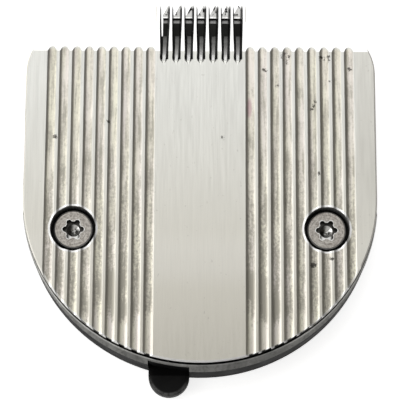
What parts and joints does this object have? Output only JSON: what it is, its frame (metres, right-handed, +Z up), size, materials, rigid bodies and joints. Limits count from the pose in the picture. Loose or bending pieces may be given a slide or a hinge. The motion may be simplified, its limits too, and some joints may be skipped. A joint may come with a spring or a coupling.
{
  "type": "hair clipper blade set",
  "caption": "Detachable hair clipper blade set: a round-ended fluted steel comb with a narrow row of teeth over a sliding cutter, on a black moulded carrier with a thumb tab.",
  "frame": {"origin": "under the middle of the set, on the back plane that meets the clipper", "axes": "+Z up out of the fluted face, +Y towards the tooth tips, +X across the teeth"},
  "size_m": [0.0454, 0.0519, 0.0065],
  "materials": {
    "comb_steel": "ground lengthways, fluted, worn with small nicks and stains",
    "cutter_steel": "ground",
    "driver_plastic": "moulded, fine matt",
    "rivet_steel": "headed, plain",
    "glide_nylon": "natural nylon, smooth",
    "spring_steel": "tempered sheet",
    "carrier_plastic": "moulded, fine matt",
    "insert_brass": "turned",
    "screw_steel": "darkened steel, brushed by use"
  },
  "bodies": {
    "base": {"comb_blade": "comb_steel", "carrier": "carrier_plastic", "screw_inserts": "insert_brass", "blade_screws": "screw_steel", "tension_spring": "spring_steel", "spring_glide": "glide_nylon"},
    "cutter": {"cutter_blade": "cutter_steel", "cutter_driver": "driver_plastic", "driver_rivets": "rivet_steel"}
  },
  "joints": [
    {"name": "cutter_slide", "type": "slide", "parent": "base", "child": "cutter", "axis": [1, 0, 0], "range_m": [-0.00145, 0.00075]}
  ]
}
